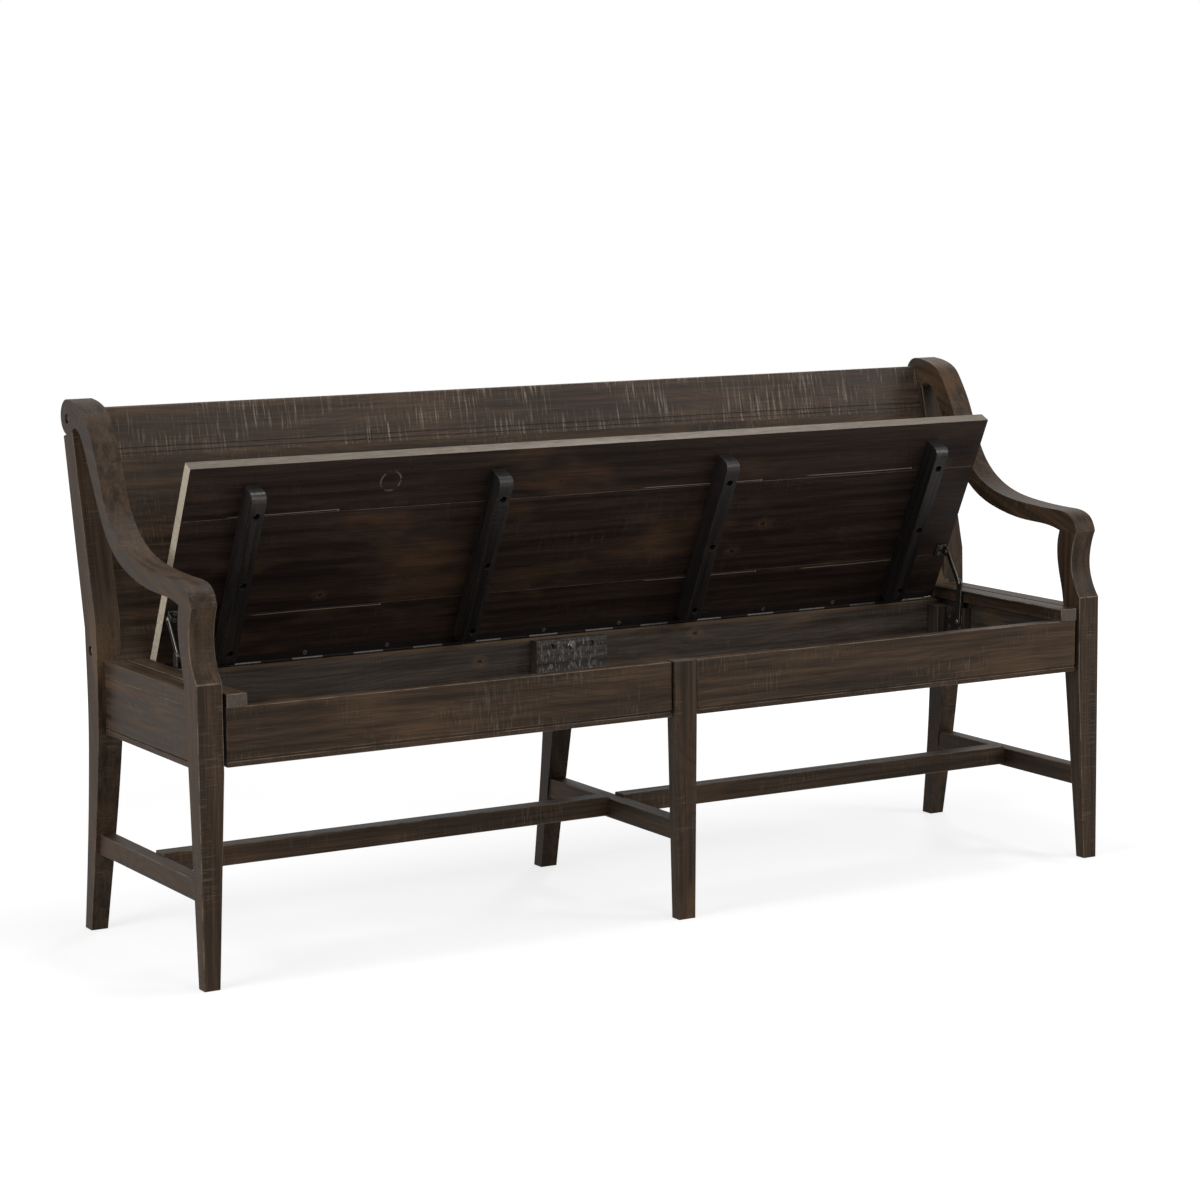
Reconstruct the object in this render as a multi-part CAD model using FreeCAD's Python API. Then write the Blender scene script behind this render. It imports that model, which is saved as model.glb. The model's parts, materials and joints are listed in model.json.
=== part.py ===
import FreeCAD, Part
import math
import os

# Settle bench: a storage box with a hinged lid hung between two shaped end frames.
# Millimetres, +X to the right seen from the front, +Y to the rear, +Z up.
# Lengths along Y are first measured back from the front feet, and each finished
# piece is then moved so that the origin is under the middle of the bench.

# Overall
bench_width = 1830.0
# Storage box under the seat
apron_top = 456.0
apron_height = 97.0
apron_setback = 8.0
box_depth = 406.0
board = 22.0
box_end_reveal = 7.0
centre_reveal = 5.0
strip_width = 36.0
strip_overhang = 3.0
floor_panel = 9.0
floor_split = 1.0
cleat_height = 10.0
cleat_width = 16.0
bead_width = 9.0
bead_groove = 2.5
bead_gap = 3.0
corner_block = 34.0
corner_block_drop = 12.0
centre_block_drop = 8.0
front_block_half = 70.0
rear_block_half = 74.0
rear_block_offset = -13.0
# Front posts
post_width = 45.0
foot_width = 28.5
front_foot_depth = 23.5
knee_proud = 3.0
knee_above_seat = 19.0
cove_depth = 25.0
post_seat_depth = 46.0
post_taper = 6.0
post_swell = 23.0
front_post_top = 618.0
# Rear posts
rear_leg_gap = 5.0
rear_leg_depth = 46.0
rear_leg_bend = 3.0
rear_leg_splay = 58.0
rear_foot_depth = 28.0
rear_foot_trim = 2.0
bend_above_seat = 67.0
rear_post_top = 862.0
rear_post_depth = 41.0
post_lean = 79.0
# Centre legs
centre_leg_width = 43.0
centre_leg_depth = 44.0
centre_foot_width = 33.0
centre_foot_depth = 27.0
centre_leg_setback = 3.0
centre_foot_setback = 6.0
centre_leg_clear = 1.0
# Arms
arm_width = 45.0
arm_thickness = 30.0
arm_rise = 37.5
nose_setback = 18.0
nose_reach = 72.0
nose_depth = 50.0
scroll_radius = 30.5
scroll_above_post = 23.0
scroll_setback = 20.0
# Side rails
side_inset = 14.0
side_cap_width = 34.0
side_cap_height = 26.0
side_apron_drop = 7.0
cap_front_lap = 1.0
cap_rear_lap = 3.0
# Stretchers
stretcher_width = 27.0
stretcher_height = 35.0
stretcher_bottom = 139.0
stretcher_inset = 8.0
centre_stretcher_inset = 1.0
long_stretcher_width = 32.0
long_stretcher_front = 237.0
long_stretcher_raise = 4.0
# Joints in the wood
tenon_length = 14.0
long_tenon = 9.0
tenon_shoulder = 5.0
tenon_fit = 0.15
# Back
back_recess = 13.0
back_board = 20.0
top_rail_above_post = 41.0
top_rail_height = 87.0
rail_groove_drops = (5.0, 14.0)
rail_groove_width = 2.8
rail_groove_depth = 2.0
rail_round = 5.0
plank_width = 99.5
plank_least = 10.0
back_start_drop = 4.0
tongue = 6.0
tongue_fit = 0.3
panel_groove = 10.0
slot_stop = 14.0
back_batten_width = 60.0
back_batten_thickness = 14.0
back_batten_raise = 8.0
back_screw_margin = 20.0
back_screw_rows = 5
back_screw_length = 26.0
# Lid
lid_gap = 6.0
lid_thickness = 22.0
lid_overhang = 12.0
lid_open_angle = 64.4
edge_board_width = 102.0
board_seam = 0.4
lid_batten_width = 27.0
lid_batten_thickness = 38.0
lid_batten_start = 18.0
lid_batten_end = 38.0
lid_batten_round = 15.0
lid_batten_margin = 117.0
lid_batten_count = 4
batten_screw_rear = 30.0
batten_screw_front = 40.0
batten_screw_rows = 3
batten_screw_sink = 10.0
batten_bore_radius = 6.5
batten_screw_length = 38.0
# Continuous hinge
hinge_inset = 4.0
hinge_drop = 1.0
hinge_leaf = 1.2
hinge_leaf_width = 14.0
hinge_barrel_radius = 2.6
hinge_barrel_gap = 0.5
hinge_pin_radius = 1.2
hinge_fit = 0.05
hinge_knuckle = 60.0
hinge_knuckle_gap = 0.6
hinge_end_margin = 20.0
hinge_screw_pitch = 160.0
hinge_screw_shift = 20.0
hinge_head_proud = 0.6
# Lid stays
stay_plate = 2.5
stay_gap = 0.5
stay_side_gap = 6.0
stay_arm_width = 15.0
stay_link_width = 10.0
stay_foot_reach = 84.0
stay_foot_drop = 38.0
stay_knuckle_reach = 90.0
stay_knuckle_rise = 38.0
stay_ear_reach = 111.0
stay_ear_drop = 7.0
stay_pin_radius = 2.5
stay_head_radius = 4.5
stay_head_height = 1.6
foot_plate_front = 12.0
foot_plate_rear = 36.0
foot_plate_above = 14.0
foot_plate_below = 18.0
foot_screw_edge = 6.0
foot_screw_rear_edge = 10.0
stay_block_margin = 4.0
stay_block_below = 24.0
stay_ear_length = 16.0
stay_ear_below = 6.0
stay_tab_length = 24.0
stay_tab_width = 22.0
stay_tab_screw_inset = 13.0
stay_tab_screw_half = 7.0
stay_tab_head_proud = 0.8
stay_screw_length = 14.0
# Fasteners
screw_head_radius = 4.2
screw_head_height = 2.4
screw_shank_radius = 2.0
screw_slot_length = 5.04
screw_slot_width = 1.18
screw_slot_depth = 1.44
bolt_head_radius = 6.5
bolt_head_height = 4.0
bolt_shank_radius = 3.0
washer_radius = 8.0
washer_height = 1.5
counterbore_radius = 8.5
counterbore_depth = 9.0
arm_bolt_reach = 16.0
post_bolt_stop = 8.0
scroll_bolt_offset = 3.0
post_bolt_setback = 28.0
post_bolt_above_seat = 15.0
centre_bolt_drop = 12.0
centre_bolt_stop = 6.0
plug_radius = 5.0
plug_depth = 5.0
plug_half_spacing = 42.0
block_screw_offsets = (-44.0, 4.0, 46.0)
block_screw_drop = 36.0
block_screw_length = 36.0
small_fit = 0.1
overcut = 1.0

# Places that follow from the sizes above
half_width = bench_width / 2
post_inner = half_width - post_width
foot_inner = half_width - foot_width
apron_bottom = apron_top - apron_height
apron_back = apron_setback + board
rear_apron_back = apron_setback + box_depth
rear_apron_front = rear_apron_back - board
box_half = post_inner - box_end_reveal
end_in = box_half - board
seat_top = apron_top + lid_thickness
side_apron_bottom = apron_bottom - side_apron_drop
knee_y = apron_setback - knee_proud
knee_height = seat_top + knee_above_seat
rear_leg_front = rear_apron_back + rear_leg_gap
rear_foot_front = rear_leg_front + rear_leg_splay
rake_height = seat_top + bend_above_seat
bend_y = rear_leg_front + rear_leg_bend
rake = math.atan(post_lean / (rear_post_top - rake_height))
post_top_front = bend_y + post_lean
arm_level = front_post_top + arm_rise
scroll_y = post_top_front + scroll_setback
bench_depth = scroll_y + scroll_radius
scroll_height = rear_post_top + scroll_above_post
top_rail_top = rear_post_top + top_rail_above_post
top_rail_bottom = top_rail_top - top_rail_height
back_bottom = seat_top - back_start_drop
hinge_y = rear_apron_front + hinge_inset
hinge_height = apron_top - hinge_drop
lid_half = box_half - strip_width - lid_gap
lid_depth = hinge_y - apron_setback + lid_overhang

V = FreeCAD.Vector


def box(x0, x1, y0, y1, z0, z1):
    """A block between two corners."""
    return Part.makeBox(x1 - x0, y1 - y0, z1 - z0, V(x0, y0, z0))


def cylinder(radius, length, centre, direction):
    return Part.makeCylinder(radius, length, V(*centre), V(*direction))


def line(a, b):
    return Part.LineSegment(V(*a), V(*b)).toShape()


def curve(points):
    spline = Part.BSplineCurve()
    spline.interpolate([V(*p) for p in points])
    return spline.toShape()


def along(start, end, shares):
    """Points between two corners, each given by its share of the way in Y and in Z."""
    return [(start[0] + (end[0] - start[0]) * y, start[1] + (end[1] - start[1]) * z) for y, z in shares]


def side_outline(runs):
    """A closed outline in the YZ plane. Each run is a straight line or a smooth curve."""
    edges = []
    for index, run in enumerate(runs):
        points = [(0.0, y, z) for y, z in run]
        edges.append(line(*points) if len(points) == 2 else curve(points))
        following = runs[(index + 1) % len(runs)][0]
        if math.dist(run[-1], following) > 0.001:
            edges.append(line(points[-1], (0.0, following[0], following[1])))
    return Part.Face(Part.Wire(edges))


def across(face, x0, x1):
    """Extrude a side outline across the bench."""
    solid = face.extrude(V(x1 - x0, 0, 0))
    solid.translate(V(x0, 0, 0))
    return solid


def taper(corners):
    """The shape of a leg seen from the front, as a deep block to trim it with."""
    outline = [V(x, -bench_depth, z) for x, z in corners + corners[:1]]
    return Part.Face(Part.makePolygon(outline)).extrude(V(0, 3 * bench_depth, 0))


def largest(shape):
    return max(shape.Solids, key=lambda solid: solid.Volume)


def turn_lid(shape):
    """Swing a piece of the lid from shut to the open rest position."""
    turned = shape.copy()
    turned.rotate(V(0, hinge_y, hinge_height), V(1, 0, 0), -lid_open_angle)
    return turned


def tilt_back(shape):
    """Lean a piece of the back from upright to the rake of the rear posts."""
    leaned = shape.copy()
    leaned.rotate(V(0, bend_y, rake_height), V(1, 0, 0), -math.degrees(rake))
    return leaned


def mirrored(shape):
    return shape.mirror(V(0, 0, 0), V(1, 0, 0))


def group(shapes):
    return Part.makeCompound(shapes)


def write(node, shape):
    placed = shape.copy()
    placed.translate(V(0, -bench_depth / 2, 0))
    placed.exportStep("parts/" + node + ".step")


def write_pair(node, shape):
    """The same piece at the right-hand end and, mirrored, at the left."""
    write(node + "_right", shape)
    write(node + "_left", mirrored(shape))


def tenon(x0, x1, y0, y1, z0, z1, axis):
    """A stub on a rail, smaller than the rail on its four long sides."""
    dx = 0.0 if axis == "x" else tenon_shoulder
    dy = 0.0 if axis == "y" else tenon_shoulder
    return box(x0 + dx, x1 - dx, y0 + dy, y1 - dy, z0 + tenon_shoulder, z1 - tenon_shoulder)


def mortise(x0, x1, y0, y1, z0, z1, axis):
    """The pocket for that stub, with a little room all round."""
    dx = 0.0 if axis == "x" else tenon_shoulder - tenon_fit
    dy = 0.0 if axis == "y" else tenon_shoulder - tenon_fit
    dz = tenon_shoulder - tenon_fit
    return box(x0 + dx, x1 - dx, y0 + dy, y1 - dy, z0 + dz, z1 - dz)


def pointed(shape, base, direction):
    """Set a shape drawn along +Z on a base, pointing along a direction."""
    placed = shape.copy()
    turn = FreeCAD.Placement(base, FreeCAD.Rotation(V(0, 0, 1), direction))
    placed.Placement = turn.multiply(shape.Placement)
    return placed


def screw(head_centre, direction, length):
    """A wood screw as a flat head with a cross slot, on a shank."""
    d = V(*direction)
    body = Part.makeCylinder(screw_head_radius, screw_head_height, V(*head_centre), d)
    body = body.fuse(Part.makeCylinder(screw_shank_radius, length, V(*head_centre), d))
    for turn in (0, 90):
        slot = box(-screw_slot_length / 2, screw_slot_length / 2, -screw_slot_width / 2,
                   screw_slot_width / 2, 0.0, screw_slot_depth)
        slot.rotate(V(0, 0, 0), V(0, 0, 1), turn)
        body = body.cut(pointed(slot, V(*head_centre), d))
    return body


def screw_hole(head_centre, direction, length, sink=0.0, bore=screw_head_radius + small_fit):
    """The counterbore and pilot that a screw stands in."""
    d = V(*direction)
    start = V(*head_centre) - d * sink
    room = Part.makeCylinder(bore, screw_head_height + sink + small_fit, start, d)
    pilot = Part.makeCylinder(screw_shank_radius + small_fit, length + small_fit, V(*head_centre), d)
    return room.fuse(pilot)


def bolt(head_centre, direction, length):
    """A hex bolt with a washer under its head."""
    d = V(*direction)
    base = V(*head_centre)
    corners = []
    for step in range(7):
        angle = math.radians(60 * step)
        corners.append(V(bolt_head_radius * math.cos(angle), bolt_head_radius * math.sin(angle), 0))
    head = Part.Face(Part.makePolygon(corners)).extrude(V(0, 0, bolt_head_height))
    washer_base = base + d * bolt_head_height
    washer = Part.makeCylinder(washer_radius, washer_height, washer_base, d)
    shank = Part.makeCylinder(bolt_shank_radius, length, washer_base, d)
    return pointed(head, base, d).fuse(washer).fuse(shank)


# Outlines of the shaped pieces, seen from the side

def front_post_face():
    knee = (knee_y, knee_height)
    neck = (knee_y + cove_depth, front_post_top)
    cove = along(knee, neck, [(0.0, 0.0), (0.56, 0.165), (1.0, 0.413), (0.96, 0.727), (0.52, 1.0)])
    seat_back = knee_y + post_seat_depth
    swell = (seat_back + post_swell, front_post_top)
    back = along((seat_back, knee_height), swell,
                 [(0.739, 1.0), (1.0, 0.744), (0.783, 0.397), (0.304, 0.066)])
    back += [(seat_back, apron_top), (seat_back - post_taper, side_apron_bottom)]
    lower_back = [back[-1], (front_foot_depth, 0.0)]
    return side_outline([[(0.0, 0.0), knee], cove, back, lower_back])


def rear_post_face():
    leg_back = rear_leg_front + rear_leg_depth
    foot_back = rear_foot_front + rear_foot_depth
    bend = (bend_y, rake_height)
    front = along((rear_leg_front, 0.0), (rear_foot_front, rake_height),
                  [(1.0, 0.0), (0.552, 0.257), (0.155, 0.532), (0.0, 0.752), (0.017, 0.881)])
    back = along((leg_back, 0.0), (foot_back, rake_height),
                 [(0.12, 0.972), (0.03, 0.826), (0.0, 0.697), (0.125, 0.514), (0.525, 0.239), (1.0, 0.0)])
    top_back = post_top_front + rear_post_depth * math.cos(rake)
    top = [(post_top_front, rear_post_top), (top_back, rear_post_top - rear_post_depth * math.sin(rake))]
    return side_outline([front + [bend], [bend, top[0]], [top[1], back[0]], back])


def arm_face():
    """The arm rolls up from the front post, runs level, sweeps up and ends in a scroll."""
    level_start = (nose_setback + nose_reach, arm_level)
    centre = (scroll_y, scroll_height)

    def around(angle):
        turn = math.radians(angle)
        return centre[0] + scroll_radius * math.cos(turn), centre[1] + scroll_radius * math.sin(turn)

    def near_scroll(shares):
        return [(centre[0] + scroll_radius * y, centre[1] + scroll_radius * z) for y, z in shares]

    nose = along((nose_setback, front_post_top), level_start,
                 [(0.0, 0.0), (0.062, 0.347), (0.2, 0.693), (0.446, 0.92), (1.0, 1.013)])
    sweep = along(level_start, centre,
                  [(0.211, 0.022), (0.405, 0.083), (0.534, 0.196), (0.619, 0.350), (0.703, 0.660),
                   (0.752, 0.838), (0.790, 0.945), (0.838, 1.050)])
    top = nose + sweep + near_scroll([(-1.439, 0.772)]) + [around(102)]
    under = [around(-145)] + near_scroll([(-1.509, -0.667), (-2.035, -1.158)])
    under += along(level_start, centre, [(0.817, 0.730), (0.724, 0.432), (0.625, 0.168), (0.539, 0.045),
                                         (0.386, -0.062)])
    below = along(level_start, (centre[0], arm_level - arm_thickness), [(0.171, 0.933), (0.047, 1.0)])
    under += below + [(nose_setback + nose_depth, front_post_top)]
    scroll = Part.Arc(V(0, *around(102)), V(0, *around(-21.5)), V(0, *around(-145))).toShape()
    edges = [curve([(0.0, y, z) for y, z in top]), scroll, curve([(0.0, y, z) for y, z in under]),
             line((0.0, *under[-1]), (0.0, *top[0]))]
    return Part.Face(Part.Wire(edges))


def centre_front_face():
    return side_outline([[(0.0, 0.0), (centre_leg_setback, apron_top)],
                         [(apron_back, apron_top), (apron_back, apron_bottom)],
                         [(apron_back, apron_bottom), (front_foot_depth, 0.0)]])


def centre_rear_face():
    foot = rear_foot_front + centre_foot_setback
    leg_back = rear_apron_back + centre_leg_depth
    leg_top = hinge_height - centre_leg_clear
    splay = along((rear_apron_back, 0.0), (foot, apron_bottom),
                  [(1.0, 0.0), (0.609, 0.39), (0.203, 0.78), (0.0, 1.0)])
    back = [(leg_back, leg_top)]
    back += along((leg_back, 0.0), (foot + centre_foot_depth, apron_bottom),
                  [(0.019, 1.028), (0.173, 0.752), (0.558, 0.362), (1.0, 0.0)])
    return side_outline([splay, [splay[-1], (rear_apron_back, leg_top)], back])


# End frames

def end_taper(trim):
    """An end post is plumb outside and narrows to its foot on the inside."""
    above = bench_depth + rear_post_top
    foot = foot_inner - trim
    return taper([(foot, 0.0), (half_width, 0.0), (half_width, above), (post_inner, above),
                  (post_inner, side_apron_bottom)])


post_blank = (half_width - 2 * post_width, half_width)
front_post_plain = across(front_post_face(), *post_blank).common(end_taper(0.0))
rear_post_plain = across(rear_post_face(), *post_blank).common(end_taper(rear_foot_trim))

rail_out = half_width - side_inset
rail_in = rail_out - board
cap_in = rail_out - side_cap_width
cap_bottom = seat_top - side_cap_height
stretcher_out = half_width - stretcher_inset
stretcher_in = stretcher_out - stretcher_width
stretcher_top = stretcher_bottom + stretcher_height

front_reach = front_foot_depth / 2
rear_reach = rear_foot_front
post_pair = front_post_plain.fuse(rear_post_plain)


def between_posts(x0, x1, z0, z1):
    """A side rail cut to the shape of the two posts that it runs between."""
    return largest(box(x0, x1, front_reach, rear_reach, z0, z1).cut(post_pair))


side_apron = between_posts(rail_in, rail_out, side_apron_bottom, cap_bottom)
side_apron = side_apron.cut(box(rail_out - bead_groove, rail_out + overcut, 0.0, bench_depth,
                                side_apron_bottom + bead_width, side_apron_bottom + bead_width + bead_gap))
side_cap = largest(box(cap_in, rail_out, knee_y + post_seat_depth - cap_front_lap,
                       rear_leg_front + cap_rear_lap, cap_bottom, seat_top).cut(post_pair))
side_stretcher = between_posts(stretcher_in, stretcher_out, stretcher_bottom, stretcher_top)


def end_tenons(rail, x0, x1, z0, z1, posts):
    """Add a stub at both ends of a side rail, and cut its pockets in the two posts."""
    bounds = rail.BoundBox
    front_post, rear_post = posts
    for end in (bounds.YMin, bounds.YMax):
        y0, y1 = end - tenon_length, end + tenon_length
        rail = rail.fuse(tenon(x0, x1, y0, y1, z0, z1, "y"))
        pocket = mortise(x0, x1, y0 - tenon_fit, y1 + tenon_fit, z0, z1, "y")
        front_post = front_post.cut(pocket)
        rear_post = rear_post.cut(pocket)
    return rail.removeSplitter(), (front_post, rear_post)


posts = (front_post_plain, rear_post_plain)
side_apron, posts = end_tenons(side_apron, rail_in, rail_out, side_apron_bottom, cap_bottom, posts)
side_stretcher, posts = end_tenons(side_stretcher, stretcher_in, stretcher_out, stretcher_bottom,
                                   stretcher_top, posts)
front_post, rear_post = posts


def up_back(z):
    """Height along the leaning back for a height above the floor."""
    return rake_height + (z - rake_height) / math.cos(rake)


back_front = bend_y + back_recess
back_rear = back_front + back_board
panel_slot = tilt_back(box(post_inner - tenon_shoulder, post_inner + panel_groove + tongue_fit,
                           back_front - tongue_fit, back_rear + tongue_fit,
                           up_back(back_bottom) - tongue_fit, up_back(rear_post_top - slot_stop)))
rear_post = rear_post.cut(panel_slot)
side_cap = side_cap.cut(panel_slot)
arm = largest(across(arm_face(), half_width - arm_width, half_width).cut(rear_post_plain))

# The bolt through each scroll holds the top rail, and the one lower down the back
arm_bolt_seat = (half_width - counterbore_depth, scroll_y + scroll_bolt_offset,
                 scroll_height - scroll_bolt_offset)
post_bolt_seat = (half_width - counterbore_depth, rear_leg_front + post_bolt_setback,
                  seat_top + post_bolt_above_seat)
arm_bolt_length = post_width + arm_bolt_reach
post_bolt_length = post_width - counterbore_depth - post_bolt_stop
inwards = (-1, 0, 0)


def bolt_room(seat, length):
    """Counterbore, washer seat and shank hole for a bolt driven inwards."""
    x, y, z = seat
    depth = counterbore_depth + overcut
    room = cylinder(counterbore_radius, depth, (x + depth, y, z), inwards)
    return room.fuse(cylinder(bolt_shank_radius + small_fit, length + small_fit, seat, inwards))


def seated_bolt(seat, length):
    x, y, z = seat
    return bolt((x + bolt_head_height + washer_height, y, z), inwards, length + washer_height)


arm = arm.cut(bolt_room(arm_bolt_seat, arm_bolt_length))
rear_post = rear_post.cut(bolt_room(post_bolt_seat, post_bolt_length))
arm_bolt = seated_bolt(arm_bolt_seat, arm_bolt_length)
post_bolt = seated_bolt(post_bolt_seat, post_bolt_length)

# Back

rail_z = up_back(top_rail_bottom)
rail_top_z = up_back(top_rail_top)
tongue_half = post_inner + panel_groove
top_rail = box(-post_inner, post_inner, back_front, back_rear, rail_z, rail_top_z)
top_edges = [edge for edge in top_rail.Edges
             if edge.BoundBox.XLength > post_inner and edge.BoundBox.ZMin > rail_top_z - overcut]
top_rail = top_rail.makeFillet(rail_round, top_edges)
top_rail = top_rail.fuse(box(-tongue_half, tongue_half, back_front + tenon_shoulder,
                             back_rear - tenon_shoulder, rail_z, up_back(rear_post_top - slot_stop) - overcut))
for drop in rail_groove_drops:
    top_rail = top_rail.cut(box(-post_inner - overcut, post_inner + overcut, back_front - overcut,
                                back_front + rail_groove_depth, rail_z + drop,
                                rail_z + drop + rail_groove_width))


def tongue_block(z0, room):
    """The tongue on a board's upper edge, or with some room the groove for it."""
    third = back_board / 3
    sink = small_fit if room else 0.0
    return box(-tongue_half - room, tongue_half + room, back_front + third - room, back_rear - third + room,
               z0 - sink, z0 + tongue + room)


top_rail = top_rail.cut(tongue_block(rail_z, tongue_fit))
planks = []
plank_top = rail_z
plank_floor = up_back(back_bottom)
while plank_top > plank_floor + plank_least:
    plank_bottom = max(plank_top - plank_width / math.cos(rake), plank_floor)
    plank = box(-tongue_half, tongue_half, back_front, back_rear, plank_bottom, plank_top)
    plank = plank.fuse(tongue_block(plank_top, 0.0)).removeSplitter()
    if plank_bottom > plank_floor + plank_least:
        plank = plank.cut(tongue_block(plank_bottom, tongue_fit))
    planks.append(tilt_back(plank))
    plank_top = plank_bottom
top_rail = tilt_back(top_rail)
for side, direction in ((1, inwards), (-1, (1, 0, 0))):
    x, y, z = arm_bolt_seat
    top_rail = top_rail.cut(cylinder(bolt_shank_radius + small_fit, arm_bolt_length + small_fit,
                                     (side * x, y, z), direction))

batten_bottom = back_bottom + back_batten_raise
batten_top = rear_post_top - slot_stop
batten_rear = back_rear + back_batten_thickness
back_batten = box(-back_batten_width / 2, back_batten_width / 2, back_rear, batten_rear,
                  up_back(batten_bottom), up_back(batten_top))
back_screws = []
screw_rise = (batten_top - batten_bottom - 2 * back_screw_margin) / (back_screw_rows - 1)
for row in range(back_screw_rows):
    seat = (0.0, batten_rear, up_back(batten_bottom + back_screw_margin + row * screw_rise))
    hole = screw_hole(seat, (0, -1, 0), back_screw_length)
    back_batten = back_batten.cut(hole)
    hole = tilt_back(hole)
    planks = [plank.cut(hole) for plank in planks]
    top_rail = top_rail.cut(hole)
    back_screws.append(tilt_back(screw(seat, (0, -1, 0), back_screw_length)))
back_batten = tilt_back(back_batten)

# Centre legs and stretchers

leg_half = centre_leg_width / 2
foot_half = centre_foot_width / 2
centre_taper = taper([(-foot_half, 0.0), (foot_half, 0.0), (leg_half, side_apron_bottom),
                      (leg_half, seat_top), (-leg_half, seat_top), (-leg_half, side_apron_bottom)])
front_leg = across(centre_front_face(), -leg_half, leg_half).common(centre_taper)
rear_leg = across(centre_rear_face(), -leg_half, leg_half).common(centre_taper)
centre_half = foot_half - centre_stretcher_inset
centre_stretcher = largest(box(-centre_half, centre_half, front_reach, rear_reach, stretcher_bottom,
                               stretcher_top).cut(front_leg.fuse(rear_leg)))
centre_stretcher, centre_legs = end_tenons(centre_stretcher, -centre_half, centre_half, stretcher_bottom,
                                           stretcher_top, (front_leg, rear_leg))
front_leg, rear_leg = centre_legs

long_back = long_stretcher_front + long_stretcher_width
long_bottom = stretcher_bottom + long_stretcher_raise
long_stretcher = box(centre_half, stretcher_in, long_stretcher_front, long_back, long_bottom,
                     long_bottom + stretcher_height)
for x0, x1 in ((centre_half - long_tenon, centre_half + overcut),
               (stretcher_in - overcut, stretcher_in + long_tenon)):
    stub = (long_stretcher_front, long_back, long_bottom, stretcher_top)
    long_stretcher = long_stretcher.fuse(tenon(x0, x1, *stub, "x"))
    pocket = mortise(x0 - tenon_fit, x1 + tenon_fit, *stub, "x")
    side_stretcher = side_stretcher.cut(pocket)
    centre_stretcher = centre_stretcher.cut(pocket).cut(mirrored(pocket))
long_stretcher = long_stretcher.removeSplitter()

# Storage box

apron_start = leg_half + centre_reveal
front_apron = box(apron_start, box_half, apron_setback, apron_back, apron_bottom, apron_top)
front_apron = front_apron.cut(box(apron_start - overcut, box_half + overcut, apron_setback - overcut,
                                  apron_setback + bead_groove, apron_bottom + bead_width,
                                  apron_bottom + bead_width + bead_gap))
box_end = box(end_in, box_half, apron_back, rear_apron_front, apron_bottom, apron_top)
seat_strip = box(box_half - strip_width, box_half, apron_setback - strip_overhang, rear_apron_back, apron_top,
                 seat_top)
leaf_seat = apron_top - hinge_leaf
barrel_room = hinge_barrel_radius + hinge_barrel_gap
rear_apron = box(-box_half, box_half, rear_apron_front, rear_apron_back, apron_bottom, leaf_seat)
rear_apron = rear_apron.cut(box(-box_half - overcut, box_half + overcut, rear_apron_front - overcut,
                                hinge_y + barrel_room, hinge_height - barrel_room, apron_top))
rear_end = box(end_in, box_half, rear_apron_front, rear_apron_back, leaf_seat, apron_top)
rear_apron = rear_apron.fuse(rear_end).fuse(mirrored(rear_end)).removeSplitter()

cleat_top = apron_bottom + cleat_height
panel_top = cleat_top + floor_panel
floor_board = box(floor_split / 2, end_in, apron_back, rear_apron_front, cleat_top, panel_top)
cleats = []
for y0 in (apron_back, rear_apron_front - cleat_width):
    cleats.append(box(apron_start, end_in, y0, y0 + cleat_width, apron_bottom, cleat_top))
cleats += [mirrored(cleat) for cleat in cleats]

block_front = rear_apron_front - board
block_top = apron_top - centre_block_drop
front_block = box(-front_block_half, front_block_half, apron_back, apron_back + board, panel_top, block_top)
rear_block = box(rear_block_offset - rear_block_half, rear_block_offset + rear_block_half, block_front,
                 rear_apron_front, panel_top, block_top)
corner_top = apron_top - corner_block_drop
corner_blocks = []
for y0 in (apron_back, rear_apron_front - corner_block):
    corner_blocks.append(box(end_in - corner_block, end_in, y0, y0 + corner_block, panel_top, corner_top))
corner_blocks += [mirrored(block) for block in corner_blocks]

# Bolts through the centre legs, and screws beside them
head_height = bolt_head_height + washer_height
bolt_z = block_top - centre_bolt_drop
front_bolt_length = 2 * board - centre_bolt_stop
rear_bolt_length = front_bolt_length + board
centre_bolts = [bolt((rear_block_offset, block_front - head_height, bolt_z), (0, 1, 0), rear_bolt_length),
                bolt((0.0, apron_back + board + head_height, bolt_z), (0, -1, 0), front_bolt_length)]
rear_hole = cylinder(bolt_shank_radius + small_fit, rear_bolt_length + overcut,
                     (rear_block_offset, block_front - overcut, bolt_z), (0, 1, 0))
front_hole = cylinder(bolt_shank_radius + small_fit, front_bolt_length + overcut,
                      (0.0, apron_back + board + overcut, bolt_z), (0, -1, 0))
rear_block = rear_block.cut(rear_hole)
rear_apron = rear_apron.cut(rear_hole)
rear_leg = rear_leg.cut(rear_hole)
front_block = front_block.cut(front_hole)
front_leg = front_leg.cut(front_hole)
for side in (-1, 1):
    rear_block = rear_block.cut(cylinder(plug_radius, plug_depth + overcut,
                                         (rear_block_offset + side * plug_half_spacing, block_front - overcut,
                                          bolt_z), (0, 1, 0)))
block_screws = []
for offset in block_screw_offsets:
    seat = (rear_block_offset + offset, block_front, bolt_z - block_screw_drop)
    hole = screw_hole(seat, (0, 1, 0), block_screw_length)
    rear_block = rear_block.cut(hole)
    rear_apron = rear_apron.cut(hole)
    block_screws.append(screw(seat, (0, 1, 0), block_screw_length))

# Lid, drawn shut and then swung open

lid_front = hinge_y - lid_depth
seams = [hinge_y - barrel_room, hinge_y - edge_board_width, lid_front + edge_board_width, lid_front]
lid_boards = []
for index in range(3):
    rear_side = seams[index] - (board_seam if index else 0.0)
    lid_boards.append(box(-lid_half, lid_half, seams[index + 1], rear_side, apron_top, seat_top))

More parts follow.
